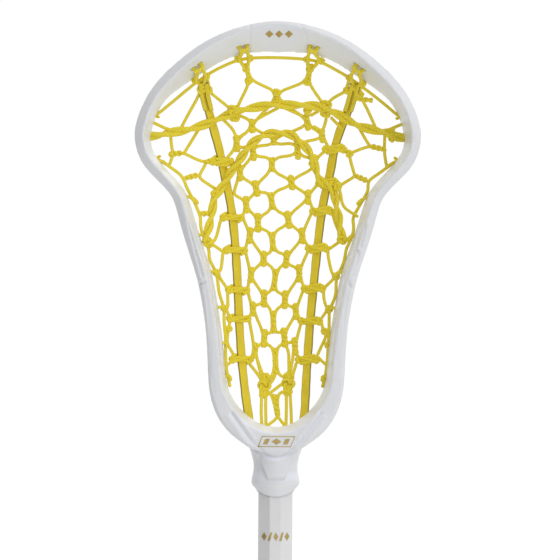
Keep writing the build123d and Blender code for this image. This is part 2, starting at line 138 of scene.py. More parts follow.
def mouldedNylon():
    # injection-moulded nylon: a soft sheen, faint flow clouds and a fine spark-eroded grain
    f = newFinish("mouldedNylon")
    where = f.coordinate("object")
    clouds = f.noise(where, 38.0, 4.0)
    grain = f.noise(where, 2600.0, 2.0)
    scuffs = f.noise(where, 240.0, 5.0, 0.65)
    fromMiddle = f.vector("SUBTRACT", where, (0.0, 0.0, (collarZ + 180.0) * mm))
    outward = f.vector("DOT_PRODUCT", fromMiddle, f.coordinate("normal"), 1)
    # inside marks faces that look towards the head's middle, where a painted cool tint cancels the mesh's yellow
    # bounce light
    inside = f.node("ShaderNodeMapRange", {"interpolation_type": "SMOOTHSTEP"},
                    Value=outward, From_Min=0.0, From_Max=-0.04)
    skin = f.ramp(clouds, [(0.3, (0.80, 0.81, 0.835)), (0.7, (0.84, 0.848, 0.87))])
    return f.shade(
        Base_Color=f.mix(inside, skin, (0.88, 0.91, 1.0, 1.0)),  # the inward faces are painted bluer and lighter, to cancel the yellow light that the mesh throws onto the inside
        Roughness=0.30 + clouds * 0.08 + scuffs * 0.08,
        Subsurface_Weight=0.04, Subsurface_Radius=(0.003, 0.003, 0.003), Subsurface_Scale=0.5,
        Specular_IOR_Level=0.5,
        Normal=f.bump(grain * 0.6 + scuffs * 0.4, 0.12, 0.0002))


def shaftPaint():
    # sprayed satin white over a composite tube
    f = newFinish("shaftPaint")
    where = f.coordinate("object")
    peel = f.noise(where, 900.0, 2.0)
    haze = f.noise(where, 22.0, 3.0)
    return f.shade(
        Base_Color=f.ramp(haze, [(0.3, (0.79, 0.79, 0.80)), (0.7, (0.83, 0.83, 0.84))]),
        Roughness=0.26 + haze * 0.12, Coat_Weight=0.25 + haze * 0.1, Coat_Roughness=0.2,
        Normal=f.bump(peel, 0.10, 0.0001))


def capRubber():
    f = newFinish("capRubber")
    where = f.coordinate("object")
    pores = f.node("ShaderNodeTexVoronoi", Vector=where, Scale=1500.0)
    dust = f.noise(where, 60.0, 5.0)
    return f.shade(
        Base_Color=f.ramp(dust, [(0.35, (0.60, 0.60, 0.61)), (0.75, (0.70, 0.70, 0.70))]),
        Roughness=0.66 + dust * 0.2, Specular_IOR_Level=0.35,
        Normal=f.bump(pores + dust * 0.5, 0.3, 0.00015))


def screwSteel():
    f = newFinish("screwSteel")
    where = f.coordinate("object")
    brushed = f.noise(f.vector("MULTIPLY", where, (300.0, 300.0, 6000.0)), 1.0)
    return f.shade(
        Base_Color=f.ramp(brushed, [(0.3, (0.50, 0.50, 0.51)), (0.7, (0.68, 0.68, 0.69))]),
        Metallic=1.0, Roughness=0.24 + brushed * 0.2, Normal=f.bump(brushed, 0.2, 0.00005))


def thongLeather():
    # flat coated thong: grain over the faces, painted shade darkening both edges
    f = newFinish("thongLeather")
    _, across, _ = f.parts(f.coordinate("uv"))
    where = f.coordinate("object")
    pebbles = f.node("ShaderNodeTexVoronoi", {"feature": "SMOOTH_F1"}, Vector=where, Scale=1900.0)
    blotches = f.noise(where, 140.0, 4.0)
    fromMiddle = abs(across - 0.5) * 2.0
    # painted shade: both edges of the thong are darkened, as where its sides fall into shadow
    paintedEdgeShade = f.ramp(fromMiddle + blotches * 0.12, [(0.84, (0.0, 0.0, 0.0)), (1.02, (1.0, 1.0, 1.0))])
    face = f.ramp(blotches, [(0.3, (0.80, 0.62, 0.024)), (0.7, (0.90, 0.71, 0.036))])
    return f.shade(
        Base_Color=f.mix(paintedEdgeShade, face, (0.26, 0.20, 0.012, 1.0)),
        Roughness=0.48 + blotches * 0.16, Specular_IOR_Level=0.4,
        Normal=f.bump(pebbles * 0.7 + blotches * 0.3, 0.28, 0.0002))


def braidedCord():
    # sixteen-carrier nylon braid: diamonds that run round and along, with painted shade in the grooves where they
    # cross
    f = newFinish("braidedCord")
    along, around, _ = f.parts(f.coordinate("uv"))
    where = f.coordinate("object")
    rightward, leftward = (along + around * 4.0) * pi, (along - around * 4.0) * pi
    diamonds = abs(rightward.sine()) * abs(leftward.sine())
    fibres = f.noise(where, 2400.0, 2.0)
    lots = f.noise(where, 55.0, 3.0)
    # the diamonds paint the grooves between the yarns darker: painted shade; fibres and lots are the yarn's own
    # varying tone
    yarnToneAndGrooveShade = diamonds * 0.55 + fibres * 0.15 + lots * 0.3
    return f.shade(
        Base_Color=f.ramp(yarnToneAndGrooveShade, [(0.10, (0.76, 0.60, 0.024)), (0.42, (0.91, 0.745, 0.038)),
                                        (0.80, (0.97, 0.83, 0.065))]),
        Roughness=0.5 + fibres * 0.2, Specular_IOR_Level=0.35, Sheen_Weight=0.25, Sheen_Roughness=0.4,
        Sheen_Tint=(1.0, 0.93, 0.45, 1.0),
        Normal=f.bump(diamonds + fibres * 0.3, 0.34, 0.00016))


def goldPrint():
    f = newFinish("goldPrint")
    foil = f.noise(f.coordinate("object"), 1500.0)
    return f.shade(
        Base_Color=f.ramp(foil, [(0.3, (0.43, 0.31, 0.09)), (0.7, (0.64, 0.50, 0.20))]),
        Metallic=0.55, Roughness=0.3 + foil * 0.25, Normal=f.bump(foil, 0.15, 0.00005))


finishes = {
    "moulded_white": mouldedNylon(),
    "shaft_white": shaftPaint(),
    "cap_rubber": capRubber(),
    "screw_steel": screwSteel(),
    "runner_yellow": thongLeather(),
    "cord_yellow": braidedCord(),
}
gold = goldPrint()
print("finishes made:", len(finishes) + 1)


def addPiece(name, mesh, slot, standsFor=(), finish=None):
    obj = bpy.data.objects.new(name, mesh)
    scene.collection.objects.link(obj)
    mesh.materials.clear()
    mesh.materials.append(finish or finishes[slot])
    mesh.shade_smooth()
    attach(obj, "root")
    if standsFor:
        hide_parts(*standsFor)
    return obj


def readVectors(rows, what):
    values = np.empty(len(rows) * 3)
    rows.foreach_get(what, values)
    return values.reshape(-1, 3)


# sizes are in mm and heights are above the collar's lip; a pair with no name is x and height
head = {
    "voxel": 0.75, "softening": 0.5, "smoothing": 4,
    "swell": 0.3, "swellRise": (60.0, 100.0), "swellAcross": 30.0,  # side walls and scoop stand a little fuller
    "facing": (0.15, 0.45),  # how far forward a face looks where a groove starts, and where it has its full depth
    "sharpness": 1.6,
    # grooves and ridges that show from the front: points, width, depth (- is raised)
    "lines": [
        ([(-57, 175.5), (-55.4, 168), (-53.1, 161)], 1, 1.5),
        ([(-52.9, 158.5), (-50.4, 150), (-48.1, 142)], 1, 1.5),
        ([(-50, 136.6), (-46.2, 137.8)], 1, 1.4),
        ([(57, 175), (55.6, 168), (54, 161.5)], 1, 1.5),
        ([(50.6, 159.3), (53, 156.7), (51.6, 149), (49.6, 142.5)], 1, 1.5),
        ([(45.9, 137.8), (48.2, 134.8)], 1, 1.4),
        ([(46, 134), (43.8, 118), (43, 98), (42.4, 80), (40, 66)], 0.9, 0.35, "bothSides"),
        ([(29, 53.5), (24.6, 47.5), (16.3, 35.8), (8.5, 29)], 1, 1, "bothSides"),
        ([(27, 53.8), (22.4, 47.6), (14.6, 37.6)], 1.2, -0.8, "bothSides"),
        ([(31.5, 51), (27, 45), (18.6, 33.2), (11.5, 27)], 1.8, -0.7, "bothSides"),
        ([(-11, 30), (-6, 26), (0, 24.6), (6, 26), (11, 30)], 1, 0.9),
        ([(-12.5, 27.6), (-7, 23.4), (0, 21.6), (7, 23.4), (12.5, 27.6)], 1.5, -0.4),
        ([(-11.3, 38.9), (11.3, 38.9), (11.3, 31.5), (-11.3, 31.5), (-11.3, 38.9)], 0.8, 0.3),
        ([(-18.6, 305.5), (-18.6, 297), (-18.4, 286.5)], 0.9, 0.45),
        ([(13.6, 305.5), (17.2, 298.6), (18.6, 294), (18.9, 286.5)], 0.9, 0.45),
    ],
}

# the collar draws in to its lip, and a shield stands out below the plate, in a shallow hollow
collar = {
    "drawIn": 10.0, "bore": 12.4, "taper": 0.10,
    "lipBand": 8.0, "lipDip": 1.2, "lipRise": 4.0, "halfWide": 13.3,
    "shield": [(-11.8, 28.4), (11.8, 28.4), (5.8, 10.8), (-5.8, 10.8)],
    "proud": 1.7, "edge": 0.8, "shieldFade": (27.0, 18.0),
    "hollow": 0.8, "hollowWide": 4.0, "hollowFrom": 4.0, "hollowFade": (24.0, 16.0),
}


def fade(value, start, end):
    # 0 at the start, 1 at the end, level beyond them
    return np.clip((value - start) / (end - start), 0, 1)


def distanceTo(line, x, z):
    # each point's distance to a line of straight runs, in the front view
    nearest = np.full(len(x), 1e9)
    for (ax, az), (bx, bz) in zip(line, line[1:]):
        dx, dz = bx - ax, bz - az
        share = np.clip(((x - ax) * dx + (z - az) * dz) / (dx * dx + dz * dz), 0, 1)
        nearest = np.minimum(nearest, np.hypot(x - ax - share * dx, z - az - share * dz))
    return nearest


def insideOf(corners, x, z):
    # how far each point lies inside a convex outline, in the front view
    inside = np.full(len(x), 1e9)
    for (ax, az), (bx, bz) in zip(corners, corners[1:] + corners[:1]):
        dx, dz = bx - ax, bz - az
        inside = np.minimum(inside, ((z - az) * -dx + (x - ax) * dz) / np.hypot(dx, dz))
    return inside


def makeHead():
    source = bpy.data.objects.new("headSource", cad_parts["head_frame"].data.copy())
    scene.collection.objects.link(source)
    remesh = source.modifiers.new("evenSkin", "REMESH")
    remesh.mode, remesh.voxel_size = "VOXEL", head["voxel"] * mm
    soften = source.modifiers.new("softEdges", "SMOOTH")
    soften.factor, soften.iterations = head["softening"], head["smoothing"]
    bpy.context.view_layer.update()
    mesh = bpy.data.meshes.new_from_object(source.evaluated_get(bpy.context.evaluated_depsgraph_get()))
    bpy.data.objects.remove(source)
    co, normals = readVectors(mesh.vertices, "co"), readVectors(mesh.vertex_normals, "vector")
    x, z = co[:, 0] / mm, co[:, 2] / mm - collarZ
    aside = np.abs(x)
    sink = np.zeros(len(co))
    for line, width, depth, *mirrored in head["lines"]:
        for side in (-1, 1) if mirrored else (1,):
            near = distanceTo([(side * px, pz) for px, pz in line], x, z)
            sink += depth * np.exp(-(near / width) ** 2 * head["sharpness"])
    within = insideOf(collar["shield"], x, z)
    around = np.exp(-(within / collar["hollowWide"]) ** 2) * (within < 0) * (z > collar["hollowFrom"])
    sink += collar["hollow"] * around * fade(z, *collar["hollowFade"])
    sink -= collar["proud"] * fade(within, 0, collar["edge"]) * fade(z, *collar["shieldFade"])
    co -= normals * (sink * fade(-normals[:, 1], *head["facing"]) * mm)[:, None]
    fuller = fade(z, *head["swellRise"]) * fade(aside, 0, head["swellAcross"])
    co[:, 0] += np.sign(x) * head["swell"] * mm * fuller
    # the collar draws in towards its lip, and the lip dips in the middle of its front and back
    outside = np.hypot(co[:, 0], co[:, 1]) / mm > collar["bore"]
    co[:, :2] *= 1 - (fade(z, collar["drawIn"], 0) ** 2 * outside * collar["taper"])[:, None]
    lip = collar["lipRise"] * fade(aside, 0, collar["halfWide"]) ** 2 - collar["lipDip"]
    co[:, 2] += fade(z, collar["lipBand"], 0) * lip * mm
    mesh.vertices.foreach_set("co", co.ravel())
    mesh.update()
    return addPiece("mouldedHead", mesh, "moulded_white", ["head_frame"])


mouldedHead = makeHead()
print("head:", len(mouldedHead.data.polygons), "faces")


# shaft, cap and screw keep their own shapes
for nodeName, slotName in (("shaft", "shaft_white"), ("butt_cap", "cap_rubber"), ("head_screw", "screw_steel")):
    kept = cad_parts[nodeName]
    kept.data.materials.clear()
    kept.data.materials.append(finishes[slotName])

# the pocket's surface: height, half width, y at the rim, extra depth midway
pocket = [
    (30, 20, 20.6, 0), (46, 24, 20.6, 0.5), (54, 27, 20.4, 3), (70, 31, 20.4, 9),
    (90, 34, 21.4, 15), (120, 38, 21.8, 19), (150, 44, 21, 19),
    (180, 53, 19.4, 16), (210, 70, 17.4, 12), (235, 82, 14.4, 8.5),
    (255, 76, 9, 6), (270, 57, 4, 3.5), (288, 20, 0, 0.5),
]


def readTable(rows, value):
    rows = np.array(rows)
    return [np.interp(value, rows[:, 0], column) for column in rows.T[1:]]


def netPoint(x, height, lift=0.0):
    # a point of the pocket's surface, in metres; lift moves it away from the ball
    half, atRim, deeper = readTable(pocket, height)
    share = min(abs(x) / half, 1)
    return Vector((x, atRim + deeper * (1 - share ** 2) + lift, collarZ + height)) * mm


def onPocket(spots, lift=0.0):
    # each spot: x, height and, where it has one, a lift of its own
    return [netPoint(x, height, lift + sum(more)) for x, height, *more in spots]


cord = {"size": 2.15, "sides": 12, "step": 0.5, "yarnPitch": 2.4, "sealed": (0.55, 0.9)}
knotForm = {"points": 24, "radius": 1.75, "lobes": 0.75, "flatten": 0.95}


def smoothLine(points, closed=False, resolution=8):
    # the line of a NURBS spline with these control points
    curve = bpy.data.curves.new("route", "CURVE")
    curve.dimensions, curve.resolution_u = "3D", resolution
    spline = curve.splines.new("NURBS")
    spline.points.add(len(points) - 1)
    for place, point in zip(spline.points, points):
        place.co = (*point, 1)
    spline.order_u = 3
    spline.use_endpoint_u = not closed
    spline.use_cyclic_u = closed
    obj = bpy.data.objects.new("route", curve)
    mesh = bpy.data.meshes.new_from_object(obj)
    line = np.array([v.co for v in mesh.vertices])
    bpy.data.objects.remove(obj)
    bpy.data.curves.remove(curve)
    bpy.data.meshes.remove(mesh)
    return np.vstack([line, line[:1]]) if closed else line


def runAlong(line):
    return np.concatenate([[0], np.cumsum(np.linalg.norm(np.diff(line, axis=0), axis=1))])


def evenSteps(line, step):
    run = runAlong(line)
    count = max(int(run[-1] / (step * mm)), 3)
    spots = np.linspace(0, run[-1], count + 1)
    return np.stack([np.interp(spots, run, line[:, i]) for i in range(3)], axis=1), spots


def tangentsOf(line):
    tangents = np.gradient(line, axis=0)
    return tangents / np.linalg.norm(tangents, axis=1)[:, None]


def framesAlong(line):
    # a pair of directions across the line that never spin about it
    tangents = tangentsOf(line)
    side = np.cross(tangents[0], (0, 1, 0))
    if np.linalg.norm(side) < 0.1:
        side = np.cross(tangents[0], (1, 0, 0))
    sides = []
    for tangent in tangents:
        side = side - tangent * (side @ tangent)
        side = side / np.linalg.norm(side)
        sides.append(side)
    sides = np.array(sides)
    return sides, np.cross(tangents, sides)


class TubeMesh:
    # gathers round and flat tubes into one mesh, with a UV that runs along and around each
    def __init__(self):
        self.points, self.faces, self.uvs, self.count = [], [], [], 0

    def add(self, line, sides, ups, section, run, place, endPlace):
        # section: the ring's points across, as (side, up) in metres; run and place: the UV along and around
        rings = line[:, None, :] + sides[:, None, :] * section[..., :1] + ups[:, None, :] * section[..., 1:]
        steps, around = rings.shape[:2]
        self.points.append(rings.reshape(-1, 3))
        i, j = (index.ravel() for index in np.indices((steps - 1, around)))
        low, high, after = i * around, (i + 1) * around, (j + 1) % around
        self.faces += (np.stack([low + j, low + after, high + after, high + j], axis=1) + self.count).tolist()
        self.uvs.append(np.stack([run[i], place[j], run[i], place[j + 1], run[i + 1], place[j + 1],
                                  run[i + 1], place[j]], axis=1).reshape(-1, 2))
        for ring in (0, steps - 1):
            cap = [self.count + ring * around + k for k in range(around)]
            self.faces.append(cap if ring else cap[::-1])
            self.uvs.append(np.column_stack([np.full(around, run[ring]), endPlace]))
        self.count += steps * around

    def mesh(self, name):
        made = bpy.data.meshes.new(name)
        made.from_pydata(np.vstack(self.points).tolist(), [], self.faces)
        layer = made.uv_layers.new(name="UVMap")
        layer.data.foreach_set("uv", np.vstack(self.uvs).ravel())
        made.update()
        return made


class Strings(TubeMesh):
    # cords of one piece
    def cord(self, points, size=cord["size"], closed=False, resolution=8):
        line, _ = evenSteps(smoothLine(points, closed, resolution), cord["step"])
        self.round(line, size)

    def round(self, line, size):
        sides = cord["sides"]
        turn = np.arange(sides) * 2 * pi / sides
        ring = np.stack([np.cos(turn), np.sin(turn)], axis=1) * size / 2 * mm
        swell = np.ones(len(line))
        for k, share in enumerate(cord["sealed"]):  # the ends are sealed round
            swell[k] = swell[-1 - k] = share
        run = runAlong(line) / (cord["yarnPitch"] * mm)
        self.add(line, *framesAlong(line), ring[None] * swell[:, None, None], run,
                 np.arange(sides + 1) / sides, np.linspace(0, 1, sides))

    def onNet(self, *routes, lift=0.0):
        for route in routes:
            self.cord(onPocket(route, lift))

    def twisted(self, points, size, apart, pitch, phase=0.0):
        # two cords laid round each other along a route
        line, spots = evenSteps(smoothLine(points), cord["step"])
        sides, ups = framesAlong(line)
        for start in (phase, phase + pi):
            angle = spots / (pitch * mm) * 2 * pi + start
            across = sides * np.cos(angle)[:, None] + ups * np.sin(angle)[:, None]
            self.round(line + across * apart * mm, size)

    def knot(self, spot, size, lean):
        # a pulled-tight overhand knot: a three-lobed closed turn of the cord
        points = []
        for k in range(knotForm["points"]):
            t = 2 * pi * k / knotForm["points"]
            wide = (knotForm["radius"] + knotForm["lobes"] * cos(3 * t)) * knotForm["flatten"]
            x, z = wide * cos(2 * t + lean), wide * sin(2 * t + lean)
            points.append(netPoint(*spot) + Vector((x, sin(3 * t), z)) * size * mm)
        self.cord(points, closed=True)

    def knots(self, rows, lift):
        for (x, height), size, lean in rows:
            self.knot((x, height, lift), size, lean)


def finishStrings(name, strings, *nodes):
    obj = addPiece(name, strings.mesh(name), "cord_yellow", nodes)
    print(name + ":", len(obj.data.polygons), "faces")


runner = {
    "width": 6.0, "thickness": 1.9, "bow": 0.12, "edgeRound": 0.5, "step": 1.2, "roll": -26.0, "rollFull": 20.0,
    "waver": ((0.035, 0.21), (0.02, 0.57)),  # how the cut width wavers: share, and turn for each mm
    "stopHeight": 50, "entry": [(47.6, -0.2), (45.8, -2.6), (44.2, -6.8)],  # over the edge, into the ball stop
    # the thong's head is folded on itself, with a slit between the halves
    "foldAside": (-1.95, 1.95), "foldEnd": 250.5, "foldLift": (-1.7, -1.5),
    "foldWidth": 3.0, "foldThickness": 1.5, "foldRoll": -8.0,
    "left": [(-48.6, 268), (-48.3, 262), (-46, 253), (-41.5, 237), (-37.5, 223), (-35, 210), (-31, 193),
        (-28, 172), (-26, 146), (-24.5, 114), (-23, 91), (-20.5, 68), (-18.4, 54), (-17.2, 42.4)],
    "right": [(50.2, 268), (49.2, 260), (45.5, 249), (40.5, 237), (37, 224), (35, 210), (30.5, 192), (28, 172),
        (25.5, 146), (22.5, 114), (21, 91), (19.7, 68), (19.2, 54), (18, 42.4)],
}


def lineAt(line, height):
    # x of a route from top to bottom, at a height
    rows = np.array(line)[::-1]
    return np.interp(height, rows[:, 1], rows[:, 0])


def flatSection(width, thickness):
    # a thong's cut: flat faces, rounded edges, faces bowed a little
    half, thick = width / 2, thickness / 2
    corner, bow = runner["edgeRound"], runner["bow"]
    top = [(s * (half - corner), thick + bow * (1 - abs(s)) - bow) for s in np.linspace(-1, 1, 7)]
    edge = [(half - corner * 0.3, thick * 0.62), (half, 0.0), (half - corner * 0.3, -thick * 0.62)]
    return np.array(top + edge + [(-x, -y) for x, y in top + edge])


def addStrap(strap, line, width, thickness, roll, phase):
    # a thong's wide way lies across the pocket, rolled a little towards the side wall
    path, spots = evenSteps(smoothLine(onPocket(line)), runner["step"])
    section = flatSection(width, thickness)
    (wide, slow), (narrow, quick) = runner["waver"]
    waver = 1 + wide * np.sin(spots / mm * slow + phase) + narrow * np.sin(spots / mm * quick)
    rings = np.repeat(section[None], len(path), axis=0) * mm
    rings[..., 0] *= waver[:, None]
    tangents = tangentsOf(path)
    across = np.cross(tangents, (0, 1, 0))
    across /= np.linalg.norm(across, axis=1)[:, None]
    up = np.cross(tangents, across)
    turned = radians(roll) * np.sign(path[:, 0]) * fade(np.abs(path[:, 0]), 0, runner["rollFull"] * mm)
    c, s = np.cos(turned)[:, None], np.sin(turned)[:, None]
    place = section[:, 0] / width + 0.5
    strap.add(path, across * c - up * s, up * c + across * s, rings, spots / mm,
              np.append(place, place[0]), np.zeros(len(place)))


def makeRunner(name, node, line, phase):
    strap = TubeMesh()
    lowest = line[-1][0]
    addStrap(strap, [spot for spot in line if spot[1] > runner["stopHeight"]]
             + [(lowest, *spot) for spot in runner["entry"]],
             runner["width"], runner["thickness"], runner["roll"], phase)
    lift, endLift = runner["foldLift"]
    foot = lineAt(line, runner["foldEnd"])
    for aside in runner["foldAside"]:
        folded = [(x + aside, height, lift) for x, height in line if height > runner["foldEnd"]]
        addStrap(strap, folded + [(foot + aside, runner["foldEnd"], endLift)],
                 runner["foldWidth"], runner["foldThickness"], runner["foldRoll"], phase)
    addPiece(name, strap.mesh(name), "runner_yellow", [node])


makeRunner("thongLeft", "runner_left", runner["left"], 0.0)
makeRunner("thongRight", "runner_right", runner["right"], 1.7)
print("runners laid")


# turns of cord round the runners; lists of places hold x from the thong's middle, outwards, height and lift
wraps = {
    "left": [(217.5, 3), (180.8, 2.6), (159.3, 2.6), (133, 2.6), (114.2, 2), (87.5, 2.6)],
    "right": [(226, 2.6), (203.5, 3), (185.3, 2.6), (160.8, 2.6), (134.3, 2.6), (112.8, 2), (87.5, 2.6)],
    "apart": 1.9, "slant": 0.12, "steps": 12,
    "clear": (1, 1.1), "squared": (0.7, 0.6),  # across and through the thong; squared turns hug its flat faces
    "entry": [(7, 1.6, -0.6), (5.6, 1.8, -1.4)],
    "exit": [(-5.6, -1.6, -1.2), (-7, -1.4, -0.5)],
    "crossing": [(7.4, -1.6, 0), (4.8, -1.4, -2), (0, -0.1, -3.1), (-4.6, 1.2, -2), (-7.2, 1.5, 0)],
    "knots": [((5.9, -0.2, -0.4), 0.8, 0.5), ((-5.9, 0.2, -0.4), 0.72, 1.4)],
}


def beside(x, height, side, places):
    return [(x + side * out, height + up, lift) for out, up, lift in places]


def wrapRoute(line, height, turns, side):
    # in from the side wall, round the thong, and out towards the middle mesh
    halfWide, halfThick = (runner[size] / 2 + clear for size, clear in zip(("width", "thickness"), wraps["clear"]))
    squareWide, squareThick = wraps["squared"]
    count = int(turns * wraps["steps"])
    middle = lineAt(line, height)
    route = beside(middle, height, side, wraps["entry"])
    for k in range(count + 1):
        angle = 2 * pi * k / wraps["steps"] + (0 if side > 0 else pi)
        h = height - (k / count - 0.5) * turns * wraps["apart"]
        c, s = cos(angle), sin(angle)
        wide = np.sign(c) * abs(c) ** squareWide * halfWide
        thick = -np.sign(s) * abs(s) ** squareThick * halfThick
        route.append((lineAt(line, h) + wide, h + wide * wraps["slant"] * side, thick))
    return onPocket(route + beside(middle, height, side, wraps["exit"]))


def makeWraps(name, node, key, side):
    strings = Strings()
    for height, turns in wraps[key]:
        strings.cord(wrapRoute(runner[key], height, turns, side), resolution=4)
        x = lineAt(runner[key], height)
        strings.onNet(beside(x, height, side, wraps["crossing"]))  # the ends cross over the front of the turns
        for place, size, lean in wraps["knots"]:
            strings.knot(*beside(x, height, side, [place]), size, lean)
    finishStrings(name, strings, node)


makeWraps("wrapTurnsLeft", "runner_wraps_left", "left", -1)
makeWraps("wrapTurnsRight", "runner_wraps_right", "right", 1)

# middle mesh: columns of bars, where two cords twist together; x and height of a bar's top, then of its bottom
bars = {
    "left": [(-34, 219, -34, 217), (-28.5, 198, -28.2, 195.5), (-22.6, 182.5, -22.6, 180.5),
        (-20.8, 160.5, -20.8, 158.5), (-19, 134, -19, 132), (-18, 115, -18, 113.5), (-16.6, 88.5, -16.6, 86.5)],
    "a": [(-27, 234.5, -26.5, 224), (-24.5, 215, -24.5, 205), (-20.5, 194.5, -20, 184), (-17.5, 174, -18, 164),
        (-16.5, 148, -17, 138), (-15.5, 125, -15.2, 116), (-13.5, 98, -14.2, 88.5)],
    "b": [(-17, 245, -16.5, 236.5), (-16.5, 230, -15.5, 218.5), (-14.5, 205, -13, 195),
        (-12.5, 183.5, -12.3, 171.5), (-8.5, 158.5, -8.5, 149), (-8, 133, -8, 122), (-7.5, 107, -8, 95.5),
        (-7.7, 75, -7.5, 64)],
    "m": [(-1, 262.5, -0.5, 257.5), (-2.3, 233.5, -2.3, 228.5), (-3.5, 220.5, -3.5, 211), (-4.5, 197.5, -2.4, 186),
        (-3.3, 171.5, -2, 158.5), (0, 147, -2, 132.5), (-2, 119.5, -1.5, 104.5), (-0.5, 95, 0, 77.5),
        (-1, 64.5, 1.4, 50.6)],
    "c": [(19, 248.5, 20, 238.5), (13, 232.5, 13.6, 219.5), (9, 208.5, 10, 199.5), (7, 185, 8.3, 174),
        (7, 159, 6.2, 148), (6, 132.5, 5.7, 121), (5.2, 108, 6, 95.5), (8, 77.5, 8.3, 64.5)],
    "d": [(29, 239, 29.7, 230.5), (24.5, 222, 25.3, 211), (20.5, 199, 20.5, 190), (16.5, 174, 17.3, 164),
        (15, 150, 15.3, 138.5), (12.7, 124, 13.5, 114), (12.4, 101.5, 12.8, 90.5)],
    "right": [(33.4, 228, 33.2, 226), (27.6, 205, 27.2, 203), (23.8, 187, 23.6, 185), (21.4, 161.5, 21.3, 159.5),
        (18.3, 135.5, 18.2, 133.5), (16.8, 113.3, 16.8, 111.8), (14.8, 88, 14.8, 86.5)],
}
lace = {
    "apart": 1.1, "turnLength": 9.0, "steps": 8, "inset": 2.3, "aside": 0.8, "sideAside": 0.2,
    # bars tied at both ends are tighter; only the middle column is left plain
    "tiedApart": 1.25, "tiedTurnLength": 7.0, "knotIn": 1.6, "knotLift": -0.3, "knotSize": 0.63, "knotLean": 0.3,
    # two fat knots above the ball stop, each of three: x, height and lift from its place, size, lean
    "fatKnots": [(-7.6, 69.5), (8.2, 71)],
    "fatParts": [(0, 0, -0.8, 1.75, 0.4), (0.6, 5.4, 0.2, 1.35, 1.2), (-0.4, -4.6, 0, 1.1, 2)],
}


def barTwist(strings, tied, topX, top, bottomX, bottom):
    # two strands right round each other
    apart, turnLength = ((lace["tiedApart"], lace["tiedTurnLength"]) if tied else (lace["apart"], lace["turnLength"]))
    steps = lace["steps"]
    count = max(1, round((top - bottom) / turnLength)) * steps
    for strand in (apart, -apart):
        strings.onNet([(topX + (bottomX - topX) * k / count + strand * cos(2 * pi * k / steps),
                        top - (top - bottom) * k / count, strand * sin(2 * pi * k / steps))
                       for k in range(count + 1)])
    if tied:
        for x, height, up in ((topX, top, -lace["knotIn"]), (bottomX, bottom, lace["knotIn"])):
            strings.knot((x, height + up, lace["knotLift"]), lace["knotSize"], lace["knotLean"] * height)


middleMesh = Strings()
columns = list(bars)
for column in columns[1:-1]:
    for bar in bars[column]:
        barTwist(middleMesh, column != "m", *bar)
for left, right in zip(columns, columns[1:]):
    places = [(bar, left, 1) for bar in bars[left]] + [(bar, right, -1) for bar in bars[right]]
    places.sort(key=lambda place: -place[0][1] - place[0][3])
    route = []
    for (topX, top, bottomX, bottom), column, side in places:
        inset = 0 if column in ("left", "m", "right") else lace["inset"]
        aside = side * (lace["sideAside"] if column in ("left", "right") else lace["aside"])
        route += [(topX + aside, top - inset), (bottomX + aside, bottom + inset)]
    middleMesh.onNet(route)
for x, height in lace["fatKnots"]:
    for right, up, lift, size, lean in lace["fatParts"]:
        middleMesh.knot((x + right, height + up, lift), size, lean)
finishStrings("middleMesh", middleMesh, "center_lace")

# the back rail's string holes: height, x of the rail's inner edge, the way it faces in degrees, y
rail = {
    "holes": [(76, 35.5, -8, 22.9), (98, 37.6, -3.5, 24.1), (121, 41.2, -10.2, 24.4),
              (144, 46.1, -14.2, 23.9), (168, 54, -16.7, 22.7), (192, 62.3, -27.7, 21.3),
              (218, 80.9, -32.3, 19), (233.5, 86.3, 1.8, 16.7), (247.5, 82.2, 19.1, 14.1)],
    "inward": 4.0, "forward": 2.6,
    "through": (1.5, 5.2, 7.0), "behind": 4.1, "backIn": (4.0, 0.8), "end": -1.0,  # a tie's way round the rail
}
# the scoop's pairs of holes: x, height of the edge, the way it faces in degrees, y in front and behind, lean
scoopEdge = [(0, 304.2, 90, -27, -1, 16.6), (23.4, 299.7, 75, -26.5, 0, 13.2),
             (44.6, 289.8, 60, -25.5, 3, 11), (61.3, 276.3, 49, -24, 7, 8.6)]


def fromHole(side, x, y, height, facing, reach):
    # reach is measured the way the edge faces, in the front view
    across, up = cos(radians(facing)) * reach, sin(radians(facing)) * reach
    return Vector((side * (x + across), y, collarZ + height + up)) * mm


def outHole(side, height, out):
    # a point on a back-rail hole's axis
    x, facing, back = readTable(rail["holes"], height)
    return fromHole(side, x, back - rail["forward"], height, facing, out - rail["inward"])


def roundTheRail(side, height):
    # out through a hole and back in behind the rail
    points = [outHole(side, height, out) for out in rail["through"]]
    back = Vector((0, rail["behind"], 0)) * mm
    points += [points[-1] + back * 0.5, points[-1] + back]
    points += [outHole(side, height, out) + back for out in rail["backIn"]]
    return points + [outHole(side, height, rail["end"]) + back * 0.6]


def scoopHole(side, edgeX, share, out):
    # a point on the axis of a hole square to the scoop's face
    height, facing, front, back, lean = readTable(scoopEdge, edgeX)
    run = np.hypot(lean, back - front)
    return fromHole(side, edgeX, front + (back - front) * share + out * lean / run, height, facing,
                    -lean * share + out * (back - front) / run)


topCord = [
    (-70, 254.8), (-56, 266.5), (-50, 270.6), (-44.5, 274.5), (-36, 279), (-26.5, 283), (-17, 284.6),
    (0, 284.9), (18, 284), (28.5, 282), (37, 277.5), (46, 272.5), (57, 265), (70, 255.2),
]
topHole = 247.5
topString = Strings()
topString.cord([*reversed(roundTheRail(-1, topHole)), *onPocket(topCord), *roundTheRail(1, topHole)])
finishStrings("topString", topString, "top_string")

